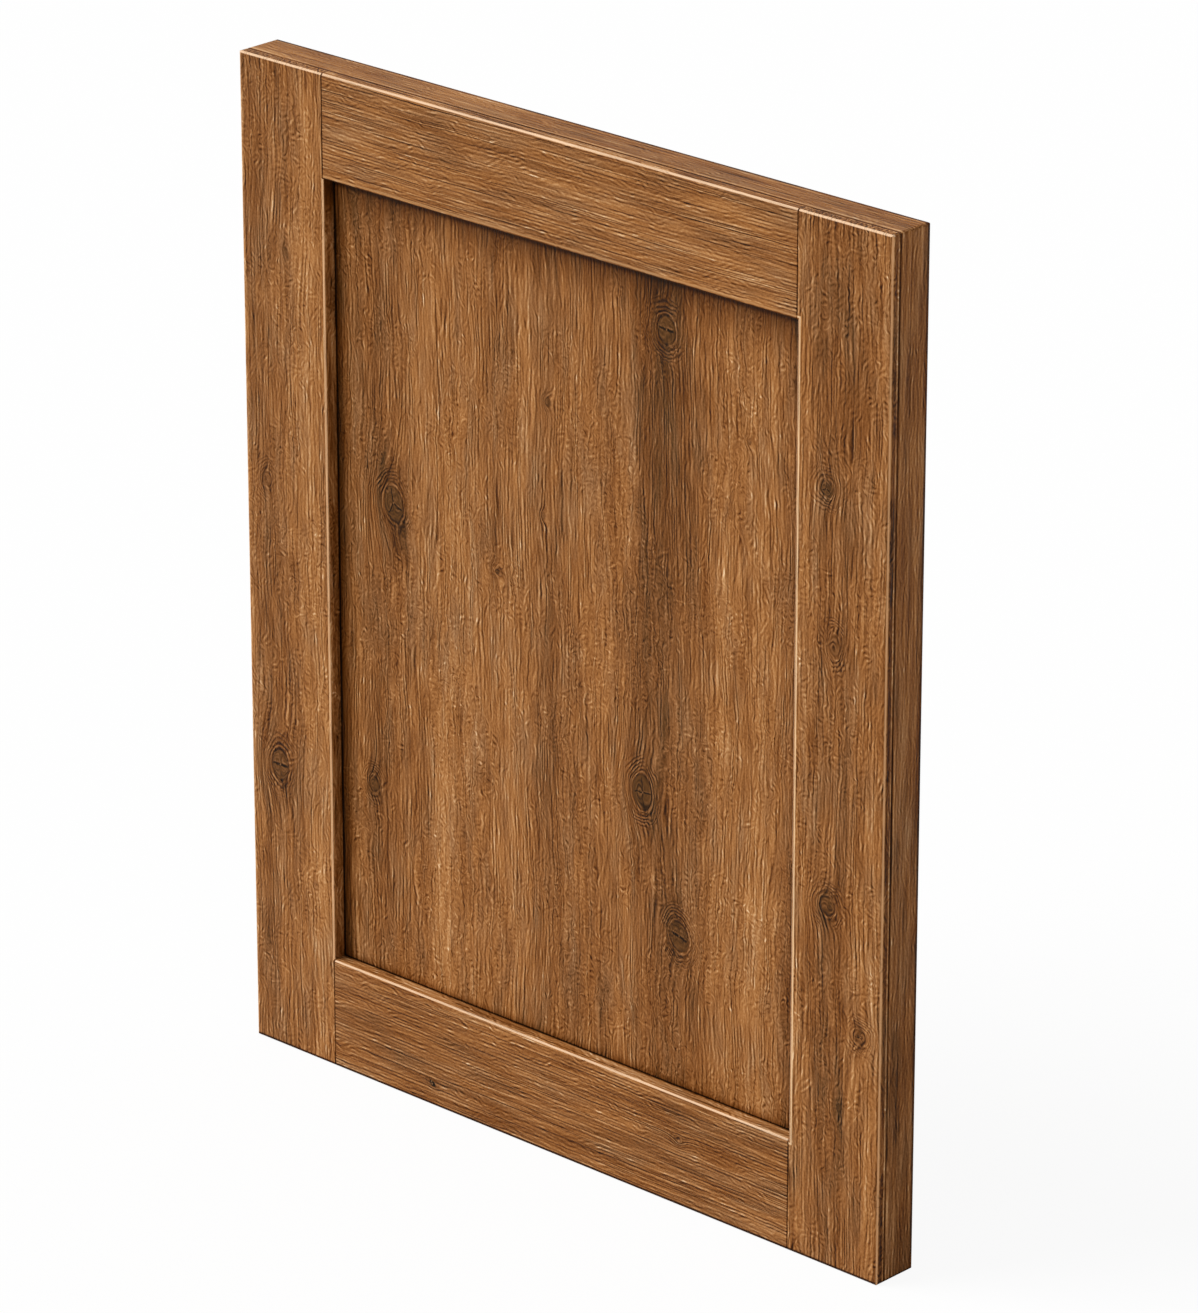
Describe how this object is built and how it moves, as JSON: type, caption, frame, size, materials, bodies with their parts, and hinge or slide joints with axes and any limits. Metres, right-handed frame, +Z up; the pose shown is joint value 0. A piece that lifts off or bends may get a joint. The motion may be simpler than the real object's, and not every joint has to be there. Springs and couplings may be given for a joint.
{
  "type": "cabinet end panel",
  "caption": "Flat cabinet end panel with full-height stiles, rails butted between them, a recessed flat centre panel and thin mitred edge lippings.",
  "frame": {"origin": "middle of the bottom edge, centred in the width and the thickness", "axes": "+Z up the panel, +X to the right seen from the front, the front face towards -Y and the back face towards +Y"},
  "size_m": [0.61, 0.038, 0.762],
  "materials": {
    "frame_wood": "brown-stained knotty oak, satin lacquer",
    "panel_wood": "brown-stained knotty oak veneered board, satin lacquer",
    "lipping_wood": "brown-stained oak strip, satin lacquer",
    "dowel_wood": "bare birch",
    "spacer_rubber": "matt soft rubber"
  },
  "bodies": {
    "root": {"left_stile": "frame_wood", "right_stile": "frame_wood", "top_rail": "frame_wood", "bottom_rail": "frame_wood", "centre_panel": "panel_wood", "top_lipping": "lipping_wood", "bottom_lipping": "lipping_wood", "left_lipping": "lipping_wood", "right_lipping": "lipping_wood", "bottom_left_outer_dowel": "dowel_wood", "bottom_left_inner_dowel": "dowel_wood", "top_left_outer_dowel": "dowel_wood", "top_left_inner_dowel": "dowel_wood", "bottom_right_outer_dowel": "dowel_wood", "bottom_right_inner_dowel": "dowel_wood", "top_right_outer_dowel": "dowel_wood", "top_right_inner_dowel": "dowel_wood", "left_lower_spacer": "spacer_rubber", "left_upper_spacer": "spacer_rubber", "right_lower_spacer": "spacer_rubber", "right_upper_spacer": "spacer_rubber", "bottom_left_spacer": "spacer_rubber", "top_left_spacer": "spacer_rubber", "bottom_right_spacer": "spacer_rubber", "top_right_spacer": "spacer_rubber"}
  },
  "joints": []
}
